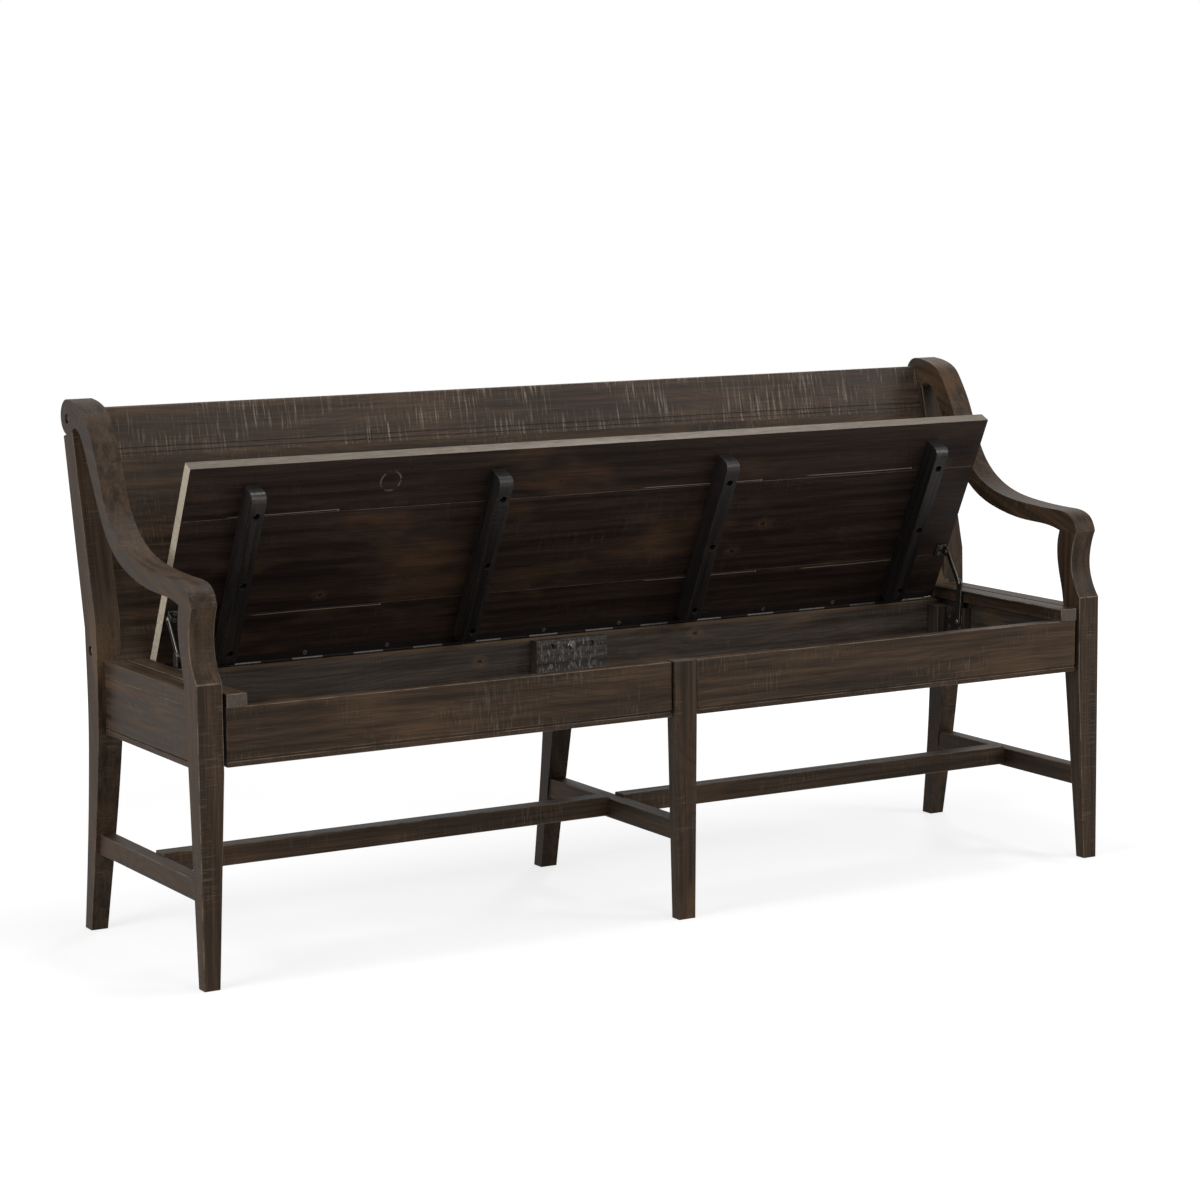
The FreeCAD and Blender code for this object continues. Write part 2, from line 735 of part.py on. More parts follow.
lid_battens = []
batten_screws = []
batten_under = apron_top - lid_batten_thickness
batten_y1 = hinge_y - lid_batten_start
batten_y0 = lid_front + lid_batten_end
batten_first = -lid_half + lid_batten_margin
batten_spacing = -2 * batten_first / (lid_batten_count - 1)
row_spacing = (batten_y1 - batten_y0 - batten_screw_rear - batten_screw_front) / (batten_screw_rows - 1)
for index in range(lid_batten_count):
    x = batten_first + index * batten_spacing
    batten = box(x - lid_batten_width / 2, x + lid_batten_width / 2, batten_y0, batten_y1,
                 batten_under, apron_top)
    noses = [edge for edge in batten.Edges
             if edge.BoundBox.XLength > overcut and edge.BoundBox.ZMax < batten_under + overcut]
    batten = batten.makeFillet(lid_batten_round, noses)
    for row in range(batten_screw_rows):
        seat = (x, batten_y1 - batten_screw_rear - row * row_spacing, batten_under + batten_screw_sink)
        hole = screw_hole(seat, (0, 0, 1), batten_screw_length, batten_screw_sink, batten_bore_radius)
        batten = batten.cut(hole)
        lid_boards = [piece.cut(hole) for piece in lid_boards]
        batten_screws.append(screw(seat, (0, 0, 1), batten_screw_length))
    lid_battens.append(batten)

# Continuous hinge: the leaves share one barrel in alternate knuckles

leaf_half = lid_half - hinge_end_margin
leaf_reach = hinge_barrel_radius + hinge_leaf_width
box_leaf = box(-leaf_half, leaf_half, hinge_y + barrel_room, hinge_y + leaf_reach, leaf_seat, apron_top)
lid_leaf = box(-leaf_half, leaf_half, hinge_y - leaf_reach, hinge_y - barrel_room, leaf_seat, apron_top)
knuckle_count = 2 * int(leaf_half / hinge_knuckle) + 1
knuckle_pitch = 2 * leaf_half / knuckle_count
bore = cylinder(hinge_pin_radius + hinge_fit, 2 * leaf_half + 2 * overcut,
                (-leaf_half - overcut, hinge_y, hinge_height), (1, 0, 0))
knuckles = {"box": [], "lid": []}
web_reach = barrel_room + hinge_barrel_gap
for index in range(knuckle_count):
    x0 = -leaf_half + index * knuckle_pitch + hinge_knuckle_gap / 2
    x1 = x0 + knuckle_pitch - hinge_knuckle_gap
    barrel = cylinder(hinge_barrel_radius, x1 - x0, (x0, hinge_y, hinge_height), (1, 0, 0))
    if index % 2 == 0:
        knuckles["box"].append(barrel.fuse(box(x0, x1, hinge_y, hinge_y + web_reach, leaf_seat, apron_top)))
    else:
        knuckles["lid"].append(barrel.fuse(box(x0, x1, hinge_y - web_reach, hinge_y, leaf_seat, apron_top)))
box_leaf = box_leaf.fuse(knuckles["box"]).cut(bore).removeSplitter()
lid_leaf = lid_leaf.fuse(knuckles["lid"]).cut(bore).removeSplitter()
hinge_pin = cylinder(hinge_pin_radius, 2 * leaf_half, (-leaf_half, hinge_y, hinge_height), (1, 0, 0))

box_hinge_screws = []
lid_hinge_screws = []
leaf_screw_count = int(2 * leaf_half / hinge_screw_pitch)
leaf_screw_reach = hinge_barrel_radius + hinge_leaf_width * 0.6
for index in range(leaf_screw_count):
    x = (index - (leaf_screw_count - 1) / 2) * hinge_screw_pitch + hinge_screw_shift
    seat = (x, hinge_y + leaf_screw_reach, apron_top + hinge_head_proud)
    hole = screw_hole(seat, (0, 0, -1), stay_screw_length)
    box_leaf = box_leaf.cut(hole)
    rear_apron = rear_apron.cut(hole)
    box_hinge_screws.append(screw(seat, (0, 0, -1), stay_screw_length))
    seat = (x, hinge_y - leaf_screw_reach, leaf_seat - hinge_head_proud)
    hole = screw_hole(seat, (0, 0, 1), stay_screw_length)
    lid_leaf = lid_leaf.cut(hole)
    lid_boards = [piece.cut(hole) for piece in lid_boards]
    lid_hinge_screws.append(screw(seat, (0, 0, 1), stay_screw_length))

# Folding stay at each end of the lid, all plates standing side by side

ear_out = lid_half - stay_side_gap
link_in = ear_out + stay_gap
arm_in = link_in + stay_plate + stay_gap
foot_in = arm_in + stay_plate + stay_gap
foot_out = foot_in + stay_plate
foot = (hinge_y - stay_foot_reach, apron_top - stay_foot_drop)
knuckle = (hinge_y - stay_knuckle_reach, apron_top + stay_knuckle_rise)
ear_y = hinge_y - stay_ear_reach
ear_z = apron_top - stay_ear_drop
open_angle = math.radians(-lid_open_angle)
ear_dy = ear_y - hinge_y
ear_dz = ear_z - hinge_height
open_ear = (hinge_y + ear_dy * math.cos(open_angle) - ear_dz * math.sin(open_angle),
            hinge_height + ear_dy * math.sin(open_angle) + ear_dz * math.cos(open_angle))


def flat_bar(start, end, width, x0):
    """A flat bar with round ends between two pivots, standing in a YZ plane."""
    length = math.dist(start, end)
    body = box(x0, x0 + stay_plate, 0.0, length, -width / 2, width / 2)
    for y in (0.0, length):
        body = body.fuse(cylinder(width / 2, stay_plate, (x0, y, 0.0), (1, 0, 0)))
    body = body.removeSplitter()
    body.rotate(V(0, 0, 0), V(1, 0, 0), math.degrees(math.atan2(end[1] - start[1], end[0] - start[0])))
    body.translate(V(0, start[0], start[1]))
    return body


def pivot_hole(point, x0, x1):
    return cylinder(stay_pin_radius + hinge_fit, x1 - x0, (x0, point[0], point[1]), (1, 0, 0))


def rivet_head(point, x):
    return cylinder(stay_head_radius, stay_head_height, (x - stay_head_height, point[0], point[1]), (1, 0, 0))


def rivet(point, head_x, shank_to):
    """A rivet with its head on the side seen from the middle of the bench."""
    return rivet_head(point, head_x).fuse(cylinder(stay_pin_radius, shank_to - head_x,
                                                   (head_x, point[0], point[1]), (1, 0, 0)))


foot_y, foot_z = foot
plate_low = foot_z - foot_plate_below
plate_rear = foot_y + foot_plate_rear
stay_block = box(foot_out, end_in, foot_y - foot_plate_front - stay_block_margin,
                 plate_rear + stay_block_margin, foot_z - stay_block_below, corner_top)
plate_high = foot_z + foot_plate_above
foot_plate = box(foot_in, foot_out, foot_y - foot_plate_front, plate_rear, plate_low, plate_high)
lower_arm = flat_bar(foot, knuckle, stay_arm_width, arm_in)
upper_link = flat_bar(knuckle, open_ear, stay_link_width, link_in).fuse(rivet_head(knuckle, link_in))
ear = box(ear_out - stay_plate, ear_out, ear_y - stay_ear_length / 2, ear_y + stay_ear_length / 2,
          ear_z - stay_ear_below, apron_top)
ear = ear.fuse(box(ear_out - stay_tab_width, ear_out, ear_y - stay_tab_length / 2,
                   ear_y + stay_tab_length / 2, apron_top - stay_plate, apron_top)).removeSplitter()
ear_screws = []
for side in (-1, 1):
    seat = (ear_out - stay_tab_screw_inset, ear_y + side * stay_tab_screw_half,
            apron_top - stay_plate - stay_tab_head_proud)
    hole = screw_hole(seat, (0, 0, 1), stay_screw_length)
    ear = ear.cut(hole)
    lid_boards = [piece.cut(hole).cut(mirrored(hole)) for piece in lid_boards]
    ear_screws.append(screw(seat, (0, 0, 1), stay_screw_length))
foot_rivet = rivet(foot, arm_in, foot_out)
ear_rivet = rivet((ear_y, ear_z), ear_out - stay_plate, link_in + stay_plate)
foot_plate = foot_plate.cut(pivot_hole(foot, foot_in - overcut, foot_out + overcut))
lower_arm = lower_arm.cut(pivot_hole(foot, arm_in - overcut, arm_in + stay_plate + overcut))
upper_link = upper_link.cut(pivot_hole(open_ear, link_in - overcut, link_in + stay_plate + overcut))
ear = ear.cut(pivot_hole((ear_y, ear_z), ear_out - stay_plate - overcut, ear_out + overcut))
foot_screws = []
for y, z in ((foot_y - foot_screw_edge, plate_low + foot_screw_edge),
             (plate_rear - foot_screw_rear_edge, plate_high - foot_screw_edge),
             (plate_rear - foot_screw_rear_edge, plate_low + foot_screw_edge)):
    hole = screw_hole((foot_in, y, z), (1, 0, 0), stay_screw_length)
    foot_plate = foot_plate.cut(hole)
    stay_block = stay_block.cut(hole)
    foot_screws.append(screw((foot_in, y, z), (1, 0, 0), stay_screw_length))

# Files

os.makedirs("parts", exist_ok=True)
write_pair("front_post", front_post)
write_pair("rear_post", rear_post)
write_pair("arm", arm)
write_pair("side_apron", side_apron)
write_pair("side_cap", side_cap)
write_pair("side_stretcher", side_stretcher)
write_pair("long_stretcher", long_stretcher)
write("centre_stretcher", centre_stretcher)
write("centre_leg_front", front_leg)
write("centre_leg_rear", rear_leg)
write_pair("front_apron", front_apron)
write("rear_apron", rear_apron)
write_pair("box_end", box_end)
write_pair("seat_strip", seat_strip)
write("bottom_panels", group([floor_board, mirrored(floor_board)]))
write("bottom_cleats", group(cleats))
write("corner_blocks", group(corner_blocks))
write("centre_block_front", front_block)
write("centre_block_rear", rear_block)
write("back_top_rail", top_rail)
for index, plank in enumerate(planks):
    write("back_plank_" + str(index + 1), plank)
write("back_batten", back_batten)
write("frame_screws", group(block_screws + back_screws))
end_bolts = [arm_bolt, post_bolt, mirrored(arm_bolt), mirrored(post_bolt)]
write("frame_bolts", group(centre_bolts + end_bolts))
for name, piece in zip(("rear", "middle", "front"), lid_boards):
    write("lid_board_" + name, turn_lid(piece))
for index, batten in enumerate(lid_battens):
    write("lid_batten_" + str(index + 1), turn_lid(batten))
write("lid_batten_screws", turn_lid(group(batten_screws)))
write("hinge_box_leaf", box_leaf)
write("hinge_lid_leaf", turn_lid(lid_leaf))
write("hinge_pin", hinge_pin)
write("stay_blocks", group([stay_block, mirrored(stay_block)]))
write("stay_foot_plates", group([foot_plate, mirrored(foot_plate)]))
write_pair("stay_lower_arm", lower_arm)
write_pair("stay_upper_link", upper_link)
write("stay_lid_ears", turn_lid(group([ear, mirrored(ear)])))
write("stay_foot_rivets", group([foot_rivet, mirrored(foot_rivet)]))
write("stay_ear_rivets", turn_lid(group([ear_rivet, mirrored(ear_rivet)])))
foot_screws += [mirrored(one) for one in foot_screws]
ear_screws += [mirrored(one) for one in ear_screws]
write("box_hardware_screws", group(box_hinge_screws + foot_screws))
write("lid_hardware_screws", turn_lid(group(lid_hinge_screws + ear_screws)))
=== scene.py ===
import json
import math

import bmesh
import bpy
from mathutils import Matrix, Vector

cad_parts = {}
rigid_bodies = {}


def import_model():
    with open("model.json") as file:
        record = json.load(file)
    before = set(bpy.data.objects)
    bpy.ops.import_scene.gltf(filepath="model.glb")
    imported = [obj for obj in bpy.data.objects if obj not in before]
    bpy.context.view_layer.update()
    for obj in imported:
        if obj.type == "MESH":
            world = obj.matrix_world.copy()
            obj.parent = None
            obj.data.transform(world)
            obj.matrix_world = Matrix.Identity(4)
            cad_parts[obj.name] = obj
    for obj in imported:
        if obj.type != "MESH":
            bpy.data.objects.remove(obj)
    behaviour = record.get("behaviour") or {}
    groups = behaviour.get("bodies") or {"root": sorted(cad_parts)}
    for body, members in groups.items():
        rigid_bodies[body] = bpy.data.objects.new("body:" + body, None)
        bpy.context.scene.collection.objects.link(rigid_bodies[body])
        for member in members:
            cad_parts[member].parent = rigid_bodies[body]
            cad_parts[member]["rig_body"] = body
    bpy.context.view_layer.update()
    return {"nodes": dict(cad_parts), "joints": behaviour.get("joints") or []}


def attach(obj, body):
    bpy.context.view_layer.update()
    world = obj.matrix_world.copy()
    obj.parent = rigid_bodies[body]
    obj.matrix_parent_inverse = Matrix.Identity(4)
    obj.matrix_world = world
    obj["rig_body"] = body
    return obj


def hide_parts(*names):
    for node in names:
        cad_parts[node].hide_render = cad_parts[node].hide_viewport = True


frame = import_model()
print("frame loaded:", len(frame["nodes"]), "pieces")

lidJoint = [joint for joint in frame["joints"] if joint["name"] == "lid_hinge"][0]
hingeLine = Vector(lidJoint["pos_m"])


# Camera

cameraView = {
    "place": (-2.9133, -4.8527, 1.3476),  # metres, from the floor under the middle of the bench
    "yaw": 30.897,  # degrees, from straight ahead towards the right-hand end
    "pitch": -8.229,
    "roll": -0.304,
    "lens": 95.59,  # mm, on a sensor 36 mm wide
    "sensor": 36.0,
}


def buildCamera(view):
    yaw, pitch, roll = (math.radians(view[key]) for key in ("yaw", "pitch", "roll"))
    ahead = Vector((math.sin(yaw) * math.cos(pitch), math.cos(yaw) * math.cos(pitch), math.sin(pitch)))
    right = Vector((math.cos(yaw), -math.sin(yaw), 0.0))
    up = right.cross(ahead)
    rolledRight = right * math.cos(roll) + up * math.sin(roll)
    rolledUp = up * math.cos(roll) - right * math.sin(roll)
    data = bpy.data.cameras.new("benchCamera")
    data.lens = view["lens"]
    data.sensor_width = view["sensor"]
    data.clip_end = 100.0
    camera = bpy.data.objects.new("benchCamera", data)
    turn = Matrix((rolledRight, rolledUp, -ahead)).transposed().to_4x4()
    camera.matrix_world = Matrix.Translation(view["place"]) @ turn
    bpy.context.scene.collection.objects.link(camera)
    bpy.context.scene.camera = camera


# Small helpers for shader trees

def addNode(tree, kind, inputs=None, **settings):
    made = tree.nodes.new("ShaderNode" + kind)
    for name, value in settings.items():
        setattr(made, name, value)
    for name, value in (inputs or {}).items():
        if isinstance(value, bpy.types.NodeSocket):
            tree.links.new(value, made.inputs[name])
        else:
            made.inputs[name].default_value = value
    return made


def calc(tree, operation, first, second=0.0, clamp=False):
    return addNode(tree, "Math", {0: first, 1: second}, operation=operation, use_clamp=clamp).outputs[0]


def fade(tree, value, low, high, lowOut=0.0, highOut=1.0):
    inputs = {"Value": value, "From Min": low, "From Max": high, "To Min": lowOut, "To Max": highOut}
    return addNode(tree, "MapRange", inputs, interpolation_type="SMOOTHSTEP").outputs[0]


def noise(tree, place, stretch, detail=3.0, roughness=0.55, shift=0.0):
    moved = addNode(tree, "Mapping", {"Vector": place, "Scale": stretch, "Location": (shift, shift, shift)})
    inputs = {"Vector": moved.outputs[0], "Scale": 1.0, "Detail": detail, "Roughness": roughness}
    return addNode(tree, "TexNoise", inputs).outputs[0]


def mixColour(tree, amount, base, over, kind="MIX"):
    inputs = {0: amount, 6: base, 7: over}
    made = addNode(tree, "Mix", inputs, data_type="RGBA", blend_type=kind)
    return made.outputs[2]


def tone(look, name):
    return (*look[name], 1.0)


# Stained wood. Each board has its own axes: X with the grain, Y across the board, Z through it.

# Each look's worn tone colours rubbed edges, scratches and ring marks, and on the eased edges it also paints a
# highlight
woodLooks = {
    "frame": {
        "dark": (0.018, 0.012, 0.008), "mid": (0.058, 0.036, 0.022), "warm": (0.092, 0.053, 0.029),
        "dust": (0.150, 0.120, 0.094), "wornAndHighlight": (0.230, 0.185, 0.140), "end": (0.080, 0.062, 0.050),
        "marksFrom": 0.42, "sawMarks": 0.85, "markLength": 0.035,
        "paleMarks": 0.45, "sheen": 0.09, "rough": 0.50,
    },
    "rail": {
        "dark": (0.026, 0.017, 0.012), "mid": (0.064, 0.043, 0.030), "warm": (0.105, 0.065, 0.038),
        "dust": (0.300, 0.255, 0.205), "wornAndHighlight": (0.260, 0.200, 0.140), "end": (0.080, 0.062, 0.050),
        "marksFrom": 0.34, "sawMarks": 1.3, "markLength": 0.07,
        "paleMarks": 0.5, "sheen": 0.10, "rough": 0.46,
    },
    "box": {
        "dark": (0.022, 0.017, 0.014), "mid": (0.066, 0.052, 0.042), "warm": (0.150, 0.090, 0.046),
        "dust": (0.120, 0.106, 0.094), "wornAndHighlight": (0.170, 0.120, 0.075), "end": (0.075, 0.055, 0.042),
        "marksFrom": 0.42, "sawMarks": 0.5, "markLength": 0.03,
        "paleMarks": 0.4, "sheen": 0.10, "rough": 0.60,
    },
    "scarred": {
        "dark": (0.020, 0.017, 0.016), "mid": (0.075, 0.067, 0.061), "warm": (0.100, 0.066, 0.042),
        "dust": (0.340, 0.320, 0.300), "wornAndHighlight": (0.150, 0.105, 0.070), "end": (0.060, 0.042, 0.032),
        "marksFrom": 0.36, "sawMarks": 1.1, "markLength": 0.012,
        "paleMarks": 0.5, "sheen": 0.10, "rough": 0.60,
    },
    "lid": {
        "dark": (0.009, 0.006, 0.005), "mid": (0.026, 0.016, 0.012), "warm": (0.088, 0.047, 0.025),
        # end: pale end grain, made paler still on the lid as a painted highlight from the lamp at the left
        "dust": (0.080, 0.062, 0.052), "wornAndHighlight": (0.300, 0.250, 0.195), "end": (0.420, 0.365, 0.280),
        # side: the long edges of the lid boards, made paler as a painted highlight from the lamp above
        "side": (0.135, 0.110, 0.086),
        "marksFrom": 0.46, "sawMarks": 0.45, "markLength": 0.03,
        "paleMarks": 0.8, "sheen": 0.10, "rough": 0.52,
    },
    "batten": {
        "dark": (0.007, 0.006, 0.006), "mid": (0.016, 0.013, 0.012), "warm": (0.032, 0.023, 0.018),
        "dust": (0.050, 0.046, 0.042), "wornAndHighlight": (0.100, 0.092, 0.084), "end": (0.020, 0.018, 0.017),
        "marksFrom": 0.42, "sawMarks": 0.3, "markLength": 0.02,
        "paleMarks": 0.5, "sheen": 0.26, "rough": 0.32,
    },
}

figure = {
    "streaks": (2.2, 75.0, 75.0),  # how often each pattern repeats per metre: along, across, through
    "fibres": (14.0, 900.0, 900.0),
    "patches": (3.2, 8.0, 8.0),
    "worked": (6.0, 15.0, 15.0),
    "bends": (1.6, 4.0, 4.0),
    "speckle": (30.0, 260.0, 260.0),
    "rubbedAndLit": (22.0, 60.0, 60.0),
    "ringSpacing": 0.0085,  # metres between growth rings
    "heartDepth": 0.045,  # how far under the face the heart of the log lay
    "wander": 0.05,
    "markPitch": 0.0032,  # metres between saw marks
    "dentPitch": 0.05,
    "scratchShare": 0.6,  # how pale a scratch or a ring mark is, next to a rubbed edge
    "ringShare": 0.30,
    "bumpDepth": 0.0005,
    "bumpStrength": 0.8,
}

# How far each mark rises or sinks, as shares of the bump's depth
relief = {"fibres": 0.35, "rings": -0.12, "darkMark": 0.8, "lightMark": 0.5, "dents": 1.6}

boardTurns = {
    "along": Matrix.Identity(3),
    "depth": Matrix.Rotation(math.radians(90), 3, "Z"),
    "upright": Matrix.Rotation(math.radians(-90), 3, "Y"),
}


def boardAxes(tree, source, grain, lean, start):
    turn = Matrix.Rotation(math.radians(-lean), 3, "X") @ boardTurns[grain]
    inputs = {"Vector": source, "Location": start, "Rotation": turn.to_euler()}
    return addNode(tree, "Mapping", inputs, vector_type="TEXTURE").outputs[0]


def knotDistance(tree, place, knot):
    x, y, size = knot
    inputs = {"Vector": place, "Location": (x, y, 0.0), "Scale": (size * 1.5, size, 100.0)}
    local = addNode(tree, "Mapping", inputs, vector_type="TEXTURE").outputs[0]
    wobble = addNode(tree, "VectorMath", {0: local}, operation="LENGTH").outputs["Value"]
    rough = noise(tree, place, (60.0, 110.0, 60.0), 2.0)
    return calc(tree, "ADD", wobble, fade(tree, rough, 0.3, 0.7, -0.22, 0.22))


def scratchMask(tree, place, scratch):
    x0, x1, y, half = scratch
    parts = addNode(tree, "SeparateXYZ", {0: place})
    slope = noise(tree, place, (3.0, 0.0, 0.0), 1.0)
    course = calc(tree, "ADD", y, fade(tree, slope, 0.3, 0.7, -half, half))
    offset = calc(tree, "SUBTRACT", parts.outputs[1], course)
    line = fade(tree, calc(tree, "ABSOLUTE", offset), half * 0.5, half, 1.0, 0.0)
    inside = calc(tree, "MULTIPLY", fade(tree, parts.outputs[0], x0 - 0.002, x0 + 0.02),
                  fade(tree, parts.outputs[0], x1 - 0.004, x1, 1.0, 0.0))
    inputs = {"Vector": place, "Location": (x1, y, 0.0), "Scale": (1.0, 1.0, 100.0)}
    dotPlace = addNode(tree, "Mapping", inputs, vector_type="TEXTURE").outputs[0]
    spread = addNode(tree, "VectorMath", {0: dotPlace}, operation="LENGTH").outputs["Value"]
    dot = fade(tree, spread, half * 1.6, half * 2.6, 1.0, 0.0)
    return calc(tree, "MAXIMUM", calc(tree, "MULTIPLY", line, inside), dot)


def ringMask(tree, place, ring):
    x, y, radius = ring
    inputs = {"Vector": place, "Location": (x, y, 0.0), "Scale": (radius, radius, 100.0)}
    local = addNode(tree, "Mapping", inputs, vector_type="TEXTURE").outputs[0]
    reach = addNode(tree, "VectorMath", {0: local}, operation="LENGTH").outputs["Value"]
    line = fade(tree, calc(tree, "ABSOLUTE", calc(tree, "SUBTRACT", reach, 1.0)), 0.04, 0.12, 1.0, 0.0)
    return calc(tree, "MULTIPLY", line, fade(tree, noise(tree, place, (90.0, 90.0, 90.0), 2.0), 0.40, 0.60))


def stainedWood(name, lookName, grain="along", lean=0.0, start=(0.0, 0.0, 0.0), seed=0, knots=(),
                scratches=(), warmBand=None, ring=None):
    look = woodLooks[lookName]
    material = bpy.data.materials.new(name)
    material.use_nodes = True
    tree = material.node_tree
    shader = tree.nodes["Principled BSDF"]
    source = addNode(tree, "TexCoord")
    place = boardAxes(tree, source.outputs["Object"], grain, lean, start)
    facing = boardAxes(tree, source.outputs["Normal"], grain, lean, (0.0, 0.0, 0.0))
    shift = seed * 3.71

    # growth rings, bent round the knots
    parts = addNode(tree, "SeparateXYZ", {0: place})
    wander = noise(tree, place, figure["bends"], 2.0, shift=shift)
    wander = fade(tree, wander, 0.2, 0.8, -figure["wander"], figure["wander"])
    across = calc(tree, "ADD", parts.outputs[1], wander)
    knotCores = None
    for knot in knots:
        distance = knotDistance(tree, place, knot)
        pull = fade(tree, distance, 0.0, 2.6, 0.8, 0.0)
        offset = calc(tree, "SUBTRACT", parts.outputs[1], knot[1])
        across = calc(tree, "SUBTRACT", across, calc(tree, "MULTIPLY", offset, pull))
        knotCores = distance if knotCores is None else calc(tree, "MINIMUM", knotCores, distance)
    deep = calc(tree, "ADD", parts.outputs[2], figure["heartDepth"])
    around = calc(tree, "SQRT", calc(tree, "ADD", calc(tree, "MULTIPLY", across, across),
                                     calc(tree, "MULTIPLY", deep, deep)))
    turns = calc(tree, "MULTIPLY", around, 2 * math.pi / figure["ringSpacing"])
    rings = fade(tree, calc(tree, "SINE", turns), 0.1, 1.0)

    # stain, streaked along the grain and rubbed in warm patches
    streaks = noise(tree, place, figure["streaks"], 4.0, 0.6, shift)
    fibres = noise(tree, place, figure["fibres"], 2.0, 0.6, shift)
    patches = noise(tree, place, figure["patches"], 3.0, 0.6, shift + 7.0)
    colour = mixColour(tree, fade(tree, streaks, 0.30, 0.68), tone(look, "dark"), tone(look, "mid"))
    colour = mixColour(tree, calc(tree, "MULTIPLY", rings, 0.30), colour, tone(look, "dark"))
    warmth = fade(tree, patches, 0.52, 0.74, 0.0, 0.55)
    if warmBand:
        axis, low, high = warmBand
        band = fade(tree, parts.outputs[axis], low, high, 0.0, 0.7)
        warmth = calc(tree, "MAXIMUM", warmth, calc(tree, "MULTIPLY", band, fade(tree, streaks, 0.2, 0.6)))
    colour = mixColour(tree, warmth, colour, tone(look, "warm"))

    # marks that the saw left across the grain
    tall = 1.0 / look["markLength"]
    pitch = 1.0 / figure["markPitch"]
    ticks = noise(tree, place, (pitch, tall, tall), 2.0, 0.6, shift)
    darkTicks = noise(tree, place, (pitch * 0.8, tall * 1.3, tall * 1.3), 2.0, 0.6, shift + 3.0)
    worked = noise(tree, place, figure["worked"], 3.0, 0.6, shift + 5.0)
    region = fade(tree, worked, look["marksFrom"], look["marksFrom"] + 0.24)
    lightMark = calc(tree, "MULTIPLY", fade(tree, ticks, 0.52, 0.70), region)
    darkMark = calc(tree, "MULTIPLY", fade(tree, darkTicks, 0.54, 0.70), region)
    amount = look["sawMarks"]
    dustShare = calc(tree, "MULTIPLY", lightMark, 0.42 * amount, clamp=True)
    colour = mixColour(tree, dustShare, colour, tone(look, "dust"))
    darkShare = calc(tree, "MULTIPLY", darkMark, 0.60 * amount, clamp=True)
    colour = mixColour(tree, darkShare, colour, tone(look, "dark"))
    fleck = fade(tree, fibres, 0.30, 0.70, 0.72, 1.22)
    fleckTone = addNode(tree, "CombineColor", {0: fleck, 1: fleck, 2: fleck}).outputs[0]
    colour = mixColour(tree, 1.0, colour, fleckTone, "MULTIPLY")

    # small dents
    inputs = {"Vector": place, "Scale": 1.0 / figure["dentPitch"], "Randomness": 1.0}
    cells = addNode(tree, "TexVoronoi", inputs)
    chance = addNode(tree, "SeparateColor", {0: cells.outputs["Color"]}).outputs[0]
    dents = calc(tree, "MULTIPLY", fade(tree, cells.outputs["Distance"], 0.03, 0.07, 1.0, 0.0),
                 calc(tree, "GREATER_THAN", chance, 0.72))
    colour = mixColour(tree, calc(tree, "MULTIPLY", dents, 0.7), colour, tone(look, "dark"))

    if knotCores is not None:
        halo = fade(tree, knotCores, 0.75, 1.5, 0.22, 0.0)
        eyeRings = fade(tree, calc(tree, "SINE", calc(tree, "MULTIPLY", knotCores, 16.0)), -0.4, 0.8)
        eye = mixColour(tree, eyeRings, tone(look, "dark"), tone(look, "warm"))
        colour = mixColour(tree, halo, colour, tone(look, "warm"))
        colour = mixColour(tree, fade(tree, knotCores, 0.55, 0.85, 0.5, 0.0), colour, eye)
        colour = mixColour(tree, fade(tree, knotCores, 0.10, 0.35, 1.0, 0.0), colour, tone(look, "dark"))

    # cut ends are paler, and edges are rubbed through; the pale eased edges are partly wear and partly a painted
    # highlight along the arrises
    facings = addNode(tree, "SeparateXYZ", {0: facing}).outputs
    endGrain = fade(tree, calc(tree, "ABSOLUTE", facings[0]), 0.80, 0.95)
    endSpeckle = fade(tree, noise(tree, place, figure["speckle"], 3.0, 0.7, shift), 0.3, 0.7, 0.70, 1.12)
    endTone = addNode(tree, "CombineColor", {0: endSpeckle, 1: endSpeckle, 2: endSpeckle}).outputs[0]
    endColour = mixColour(tree, 1.0, tone(look, "end"), endTone, "MULTIPLY")
    # on the lid the end tone is so pale that it also paints a highlight on the cut ends
    colour = mixColour(tree, endGrain, colour, endColour)
    # the lid's long edges are painted lighter: a painted highlight
    if "side" in look:
        sideGrain = fade(tree, calc(tree, "ABSOLUTE", facings[1]), 0.80, 0.95)
        sideHighlightTone = mixColour(tree, 1.0, tone(look, "side"), endTone, "MULTIPLY")
        colour = mixColour(tree, sideGrain, colour, sideHighlightTone)
    # pale eased edges: real wear and a painted highlight along the arrises, with real scratches and the ring mark
    # added
    arris = addNode(tree, "Attribute", attribute_name="arris").outputs["Fac"]
    rubbedAndLit = fade(tree, noise(tree, place, figure["rubbedAndLit"], 4.0, 0.65, shift), 0.36, 0.60, 0.15, 1.0)
    paleMarks = calc(tree, "MULTIPLY", arris, calc(tree, "MULTIPLY", rubbedAndLit, look["paleMarks"]), clamp=True)
    for scratch in scratches:
        scraped = calc(tree, "MULTIPLY", scratchMask(tree, place, scratch), figure["scratchShare"])
        paleMarks = calc(tree, "MAXIMUM", paleMarks, scraped)
    if ring:
        ringed = calc(tree, "MULTIPLY", ringMask(tree, place, ring), figure["ringShare"])
        paleMarks = calc(tree, "MAXIMUM", paleMarks, ringed)
    colour = mixColour(tree, paleMarks, colour, tone(look, "wornAndHighlight"))
    tree.links.new(colour, shader.inputs["Base Color"])

    polish = calc(tree, "ADD", look["rough"], fade(tree, streaks, 0.3, 0.7, -0.07, 0.07))
    polish = calc(tree, "ADD", polish, calc(tree, "MULTIPLY", lightMark, 0.18), clamp=True)
    tree.links.new(polish, shader.inputs["Roughness"])
    shader.inputs["Specular IOR Level"].default_value = look["sheen"]

